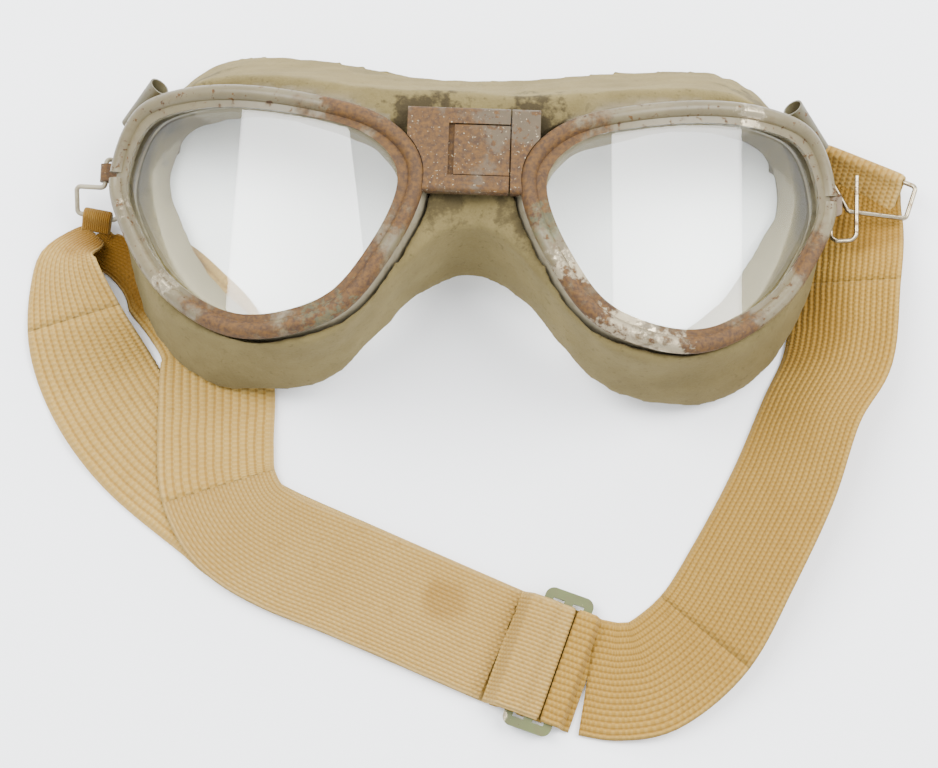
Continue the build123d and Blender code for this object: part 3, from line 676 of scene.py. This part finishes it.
def webbing_cloth(name, base, dark, light, pitch, loop, shade_and_stain_places):
    """Knitted elastic: painted shade in grooves, painted highlight on loops and edges, brown near
    places.
    """
    made, tree, shader, place = finish_named(name)
    chart = add_node(tree, "ShaderNodeUVMap", uv_map="along_and_across").outputs[0]
    wobble = add_node(
        tree, "ShaderNodeTexNoise", {"Vector": place, "Scale": 180.0, "Detail": 2.0}
    )
    split = add_node(tree, "ShaderNodeSeparateXYZ", {0: chart}).outputs
    waver = worked(tree, "MULTIPLY", worked(tree, "SUBTRACT", wobble.outputs[0], 0.5), 0.0006)
    knots = apply_effect(
        tree, knit, Along=split[0], Across=worked(tree, "ADD", split[1], waver),
        Pitch=pitch, Loop=loop,
    )
    fuzz = apply_effect(tree, spots, Vector=place, Scale=2600.0, Amount=0.5, Softness=0.3)
    patch = apply_effect(tree, spots, Vector=place, Scale=38.0, Amount=0.48, Softness=0.25)
    grime = apply_effect(
        tree, spots, Vector=place, Scale=300.0, Amount=0.33, Softness=0.08, Detail=6.0
    )
    dirt, shade_and_stain_brown = pigment(112, 84, 54), pigment(132, 98, 60)
    # Painted highlight on the raised loops, then painted shade in the rib grooves
    colour = mixed(tree, worked(tree, "MULTIPLY", knots["Loop_Highlight"], 0.45), base, light)
    colour = mixed(tree, worked(tree, "MULTIPLY", knots["Groove_Shade"], 0.55), colour, dark)
    colour = mixed(tree, worked(tree, "MULTIPLY", patch["Mask"], 0.22), colour, dark)
    colour = mixed(tree, worked(tree, "MULTIPLY", grime["Mask"], 0.25), colour, dirt)
    # Brown round given places: painted shade where the strap runs under the goggles, and a real
    # stain on the upper ply near the slide
    for spot, size, depth in shade_and_stain_places:
        near = apply_effect(
            tree, stain, Vector=place, Place=spot, Size=size, Ragged=0.35, Grain=60.0
        )
        colour = mixed(tree, worked(tree, "MULTIPLY", near["Mask"], depth), colour, shade_and_stain_brown)
    # Both edges of the band are lightened: painted highlight where the raised selvedges catch the
    # light
    edge_highlight_start, edge_highlight_full = 0.0140, 0.0148
    edge_highlight = ramped(tree, worked(tree, "ABSOLUTE", split[1]), edge_highlight_start, edge_highlight_full)
    colour = mixed(tree, worked(tree, "MULTIPLY", edge_highlight, 0.35), colour, light)
    tree.links.new(colour, shader.inputs["Base Color"])
    shader.inputs["Roughness"].default_value = 0.85
    shader.inputs["Specular IOR Level"].default_value = 0.2
    shader.inputs["Sheen Weight"].default_value = 0.25
    shader.inputs["Sheen Tint"].default_value = pigment(235, 215, 175)
    height = worked(tree, "ADD", knots["Height"], worked(tree, "MULTIPLY", fuzz["Noise"], 0.8))
    bump = add_node(
        tree, "ShaderNodeBump", {"Height": height, "Strength": 0.55, "Distance": 0.00035}
    )
    tree.links.new(bump.outputs[0], shader.inputs["Normal"])
    return made


# Brown places here are painted shade: at the left ring, where the return ply runs under the
# cushion, and at the right fold under the temple
tan_webbing = webbing_cloth(
    "tan_webbing", pigment(210, 181, 132), pigment(158, 124, 80), pigment(232, 207, 162),
    0.0022, 0.0013,
    [((-0.101, 0.004, 0.006), 0.016, 0.6), ((-0.088, -0.004, 0.001), 0.020, 0.85),
     ((0.100, 0.022, 0.006), 0.016, 0.35)],
)
# Brown places here are painted shade under the right temple and beside the cheek
coarse_webbing = webbing_cloth(
    "coarse_webbing", pigment(188, 157, 108), pigment(132, 99, 58), pigment(214, 186, 138),
    0.0016, 0.0012,
    [((0.104, 0.022, 0.006), 0.022, 0.5), ((0.090, -0.020, 0.002), 0.014, 0.3)],
)
# The brown place here is a real stain on the upper ply near the slide
fine_webbing = webbing_cloth(
    "fine_webbing", pigment(204, 176, 130), pigment(160, 126, 82), pigment(224, 200, 158),
    0.0011, 0.0016,
    [((-0.004, -0.096, 0.004), 0.007, 0.35)],
)


def finish_strap(piece, material, node):
    """Material of one strap piece, with the frame node it stands in for hidden if one is given."""
    cover(piece, material)
    if node:
        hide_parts(node)


right_run_rows = from_loop([
    (0.876, -0.152, 0.152, -115.6, 16.0, 0.77),
    (0.860, -0.070, 0.132, -108.0, 14.0, 0.93),
    (0.847, 0.062, 0.245, -100.0, 27.0, 1.0),
    (0.833, 0.216, 0.262, -103.0, 28.0, 1.0),
    (0.771, 0.336, 0.325, -107.0, 36.0, 1.0),
    (0.711, 0.492, 0.280, -112.0, 30.0, 1.0),
    (0.626, 0.657, 0.240, -122.0, 25.0, 1.0),
    (0.547, 0.788, 0.150, -140.0, 14.0, 1.0),
    (0.445, 0.872, 0.080, -160.0, 6.0, 1.0),
    (0.365, 0.890, 0.035, -182.0, 1.5, 1.0),
])
slide_heading = 162.3
slide_place = np.array([0.0240, -0.1114, 0.0])
slide_angle = math.radians(slide_heading)
slide_course = np.array([math.cos(slide_angle), math.sin(slide_angle), 0])
approach, sewn_approach = 0.011, 0.013
row_steps = 8


def slide_row(distance, height, heading):
    """Row at a distance from the slide's middle along the webbing."""
    return [*(slide_place + distance * slide_course)[:2], height, heading, 0.0, webbing_width]


entry = slide_row(-approach, webbing_thickness / 2, slide_heading - 360)
right_rows = smooth_rows(np.vstack([right_run_rows, [entry]]), row_steps)
first_cut, second_cut = row_steps * 2 + 1, row_steps * 7 + 1


def cut_band(name, rows, begin, end, start_length=0.0):
    """Band through an already smooth stretch of rows."""
    turn, lean = np.radians(rows[:, 3]), np.radians(rows[:, 4])
    across = np.stack([-np.sin(turn) * np.cos(lean), np.cos(turn) * np.cos(lean), np.sin(lean)], 1)
    part = slice(begin, end)
    along = np.gradient(rows[:, :3], axis=0)[part]
    return band_mesh(name, rows[part, :3], across[part], rows[part, 5], start_length, along)


right_upper, first_length = cut_band("strap_right_upper", right_rows, 0, first_cut)
finish_strap(right_upper, coarse_webbing, "strap_right_run")
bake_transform(right_upper)
right_middle, second_length = cut_band(
    "strap_right_middle", right_rows, first_cut - 1, second_cut, first_length
)
finish_strap(right_middle, coarse_webbing, None)
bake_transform(right_middle)
right_lower, third_length = cut_band(
    "strap_right_lower", right_rows, second_cut - 1, len(right_rows), first_length + second_length
)
finish_strap(right_lower, coarse_webbing, None)
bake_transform(right_lower)

outer_rows = np.vstack([
    [slide_row(approach, webbing_thickness / 2, slide_heading)],
    from_loop([
        (-0.227, 0.708, 0.020, 158.0, 0.0, 1.0),
        (-0.458, 0.622, 0.020, 152.0, 0.0, 1.0),
        (-0.547, 0.565, 0.020, 142.0, 0.0, 1.0),
        (-0.716, 0.446, 0.020, 128.0, 0.0, 1.0),
        (-0.822, 0.323, 0.020, 116.0, 0.0, 1.0),
        (-0.890, 0.192, 0.215, 103.0, -22.0, 0.92),
        (-0.915, 0.069, 0.255, 92.0, -38.0, 0.74),
        (-0.857, 0.009, 0.150, 81.6, 3.0, 0.25),
    ]),
])
outer_smooth = smooth_rows(outer_rows, row_steps)
outer_cut = row_steps * 6 + 1
outer_flat, outer_length = cut_band("strap_outer_ply_laid", outer_smooth, 0, outer_cut)
finish_strap(outer_flat, tan_webbing, "strap_outer_ply")
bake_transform(outer_flat)
outer_rise, rise_length = cut_band(
    "strap_outer_ply_rising", outer_smooth, outer_cut - 1, len(outer_smooth), outer_length
)
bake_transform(outer_rise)

upper_height = 1.5 * webbing_thickness + ply_gap
return_rows = np.vstack([
    from_loop([
        (-0.857, 0.009, 0.107, -98.4, -3.0, 0.25),
        (-0.836, 0.034, 0.060, -58.0, 0.0, 0.34),
        (-0.786, 0.055, 0.040, -42.0, 0.0, 0.43),
        (-0.716, 0.085, 0.029, -45.0, 0.0, 0.77),
        (-0.640, 0.148, 0.034, -59.6, 0.0, 0.86),
        (-0.575, 0.227, 0.063, -76.0, 0.0, 0.95),
        (-0.562, 0.330, 0.063, -87.0, 0.0, 1.0),
        (-0.559, 0.440, 0.063, -88.0, 0.0, 1.0),
        (-0.547, 0.523, 0.063, -72.0, 0.0, 1.0),
        (-0.496, 0.600, 0.063, -45.0, 0.0, 1.0),
        (-0.398, 0.654, 0.063, -22.0, 0.0, 1.0),
        (-0.227, 0.711, 0.063, -19.0, 0.0, 1.0),
    ]),
    [slide_row(sewn_approach, upper_height, slide_heading - 180)],
])
return_smooth = smooth_rows(return_rows, row_steps)
return_cut = row_steps * 8 + 1
return_start, start_length = cut_band("strap_return_ply_laid", return_smooth, 0, return_cut)
finish_strap(return_start, tan_webbing, "strap_return_ply")
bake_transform(return_start)
return_top, top_length = cut_band(
    "strap_return_ply_top", return_smooth, return_cut - 1, len(return_smooth), start_length
)
finish_strap(return_top, fine_webbing, None)
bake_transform(return_top)


# Strap folds at the rings. The webbing turns round one side of each ring: on the left it
# runs on as the return ply, and on the right its end is sewn down, with the cut ply in front.
def fold_band(name, near, far, share, dip, front, back):
    """Band folded round the ring side that runs from near to far.

    The path lies in the plane square to the side: a straight front ply, a half turn round
    the wire, and a straight back ply, all leaving at a dip below the level. The share is
    the band's width there in webbing widths, and front and back are how far the plies reach.
    """
    near, far = np.array(near), np.array(far)
    tunnel = (far - near) / np.linalg.norm(far - near)
    level = np.array([-abs(tunnel[1]), -abs(tunnel[0]), 0])
    level /= np.linalg.norm(level)
    up = np.array([-tunnel[2] * tunnel[0], -tunnel[2] * tunnel[1], tunnel[0] ** 2 + tunnel[1] ** 2])
    up /= np.linalg.norm(up)
    leaving = level * math.cos(dip) - up * math.sin(dip)
    lifted = up * math.cos(dip) + level * math.sin(dip)
    wire_radius = 0.00065
    turn_radius = wire_radius + ply_gap + webbing_thickness / 2
    flat_half = webbing_thickness / 2 + ply_gap / 2
    angle = np.linspace(math.pi / 2, 3 * math.pi / 2, 15)
    neck, bend_share = 0.0022, 0.45
    steps = np.array(
        [(d, flat_half) for d in np.linspace(front, neck, 8)]
        + [(neck * bend_share, (flat_half + turn_radius) / 2)]
        + list(zip(turn_radius * np.cos(angle), turn_radius * np.sin(angle)))
        + [(neck * bend_share, -(flat_half + turn_radius) / 2)]
        + [(d, -flat_half) for d in np.linspace(neck, back, 4)]
    )
    centre = (near + far) / 2 + steps[:, :1] * leaving + steps[:, 1:] * lifted
    across = np.broadcast_to(tunnel, centre.shape)
    width = np.full(len(centre), webbing_width * share)
    return band_mesh(name, centre, across, width)


fold_dip = math.radians(34.0)
right_fold, fold_length = fold_band(
    "strap_right_fold", (0.1180, 0.0176, 0.0120), (0.0910, 0.0306, 0.0034),
    share=0.77, dip=fold_dip, front=0.0105, back=0.0040,
)
finish_strap(
    right_fold, tan_webbing, "strap_right_end"
)
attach(right_fold, "right_ring")
left_fold, _ = fold_band(
    "strap_left_fold", (-0.1058, 0.0042, 0.0061), (-0.0950, 0.0026, 0.0056),
    share=0.25, dip=fold_dip, front=0.0040, back=0.0040,
)
cover(left_fold, tan_webbing)
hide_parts("strap_left_turn")
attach(left_fold, "left_ring")
finish_strap(outer_rise, tan_webbing, None)

# Three-bar slide. Stamped sheet steel painted olive green, chipped in places, with the strap
# threaded over its outer bars and sewn round the middle one.
slide_paint = worn_paint(
    "slide_paint", pigment(112, 118, 76), [((0.030, -0.100, 0.003), 0.003)],
    [((0.012, -0.126, 0.004), 0.002)], [], 0.30, 0.24,
)
cover(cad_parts["slide_buckle"], slide_paint)
slide_bar, slide_slot, slide_sheet = 0.0024, 0.0030, 0.0012
slide_bottom = 2 * webbing_thickness + 3 * ply_gap
bar_edge = slide_bar / 2 + slide_slot
over_bar = slide_bottom + slide_sheet + ply_gap + webbing_thickness / 2
under_bar = webbing_thickness / 2 + ply_gap
thread_x = bar_edge - ply_gap - webbing_thickness / 2
thread_far_x = bar_edge + slide_bar + ply_gap + webbing_thickness
low = webbing_thickness / 2


def rounded_route(points, radius, steps=6):
    """Polyline in the slide's section with each corner rounded off.

    A corner becomes a quadratic curve, pulled towards the corner, between the two points
    where an arc of the radius would start and end, or nearer where a side is too short.
    """
    points = np.array(points, float)
    route = [points[:1]]
    for before, corner, after in zip(points[:-2], points[1:-1], points[2:]):
        arrive = (before - corner) / np.linalg.norm(before - corner)
        leave = (after - corner) / np.linalg.norm(after - corner)
        half = math.acos(np.clip(arrive @ leave, -1, 1)) / 2
        cut = min(radius / max(math.tan(half), 1e-6), 0.48 * min(
            np.linalg.norm(before - corner), np.linalg.norm(after - corner)))
        t = np.linspace(0, 1, steps)[:, None]
        first, last = corner + arrive * cut, corner + leave * cut
        route.append((1 - t) ** 2 * first + 2 * t * (1 - t) * corner + t**2 * last)
    return np.vstack([*route, points[-1:]])


def slide_band(name, points):
    """Band whose path is a route in the slide's section, as wide as the webbing."""
    route = rounded_route(points, webbing_thickness / 2 + ply_gap)
    centre = slide_place + route[:, :1] * slide_course + route[:, 1:] * np.array([0, 0, 1.0])
    side = np.array([-slide_course[1], slide_course[0], 0])
    return band_mesh(name, centre, np.broadcast_to(side, centre.shape),
                     np.full(len(centre), webbing_width))


thread_half = [(thread_x, under_bar), (thread_x, over_bar), (thread_far_x, over_bar),
               (thread_far_x + webbing_thickness, low), (approach, low)]
threaded, threaded_length = slide_band(
    "strap_threaded_loop", [(-x, y) for x, y in reversed(thread_half)] + thread_half
)
finish_strap(
    threaded, coarse_webbing, "strap_threaded"
)
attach(threaded, "buckle")
wrap_x = slide_bar / 2 + ply_gap + webbing_thickness / 2
wrap_low = slide_bottom - ply_gap - webbing_thickness / 2
top_run = over_bar + webbing_thickness + ply_gap
sewn, sewn_length = slide_band(
    "strap_sewn_loop",
    [(wrap_x, over_bar - webbing_thickness - ply_gap), (wrap_x, wrap_low), (-wrap_x, wrap_low),
     (-wrap_x, over_bar), (slide_bar / 2, over_bar), (thread_x, top_run),
     (thread_far_x + webbing_thickness, top_run), (sewn_approach - webbing_thickness, upper_height),
     (sewn_approach, upper_height)],
)
finish_strap(sewn, fine_webbing, "strap_sewn_end")
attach(sewn, "buckle")
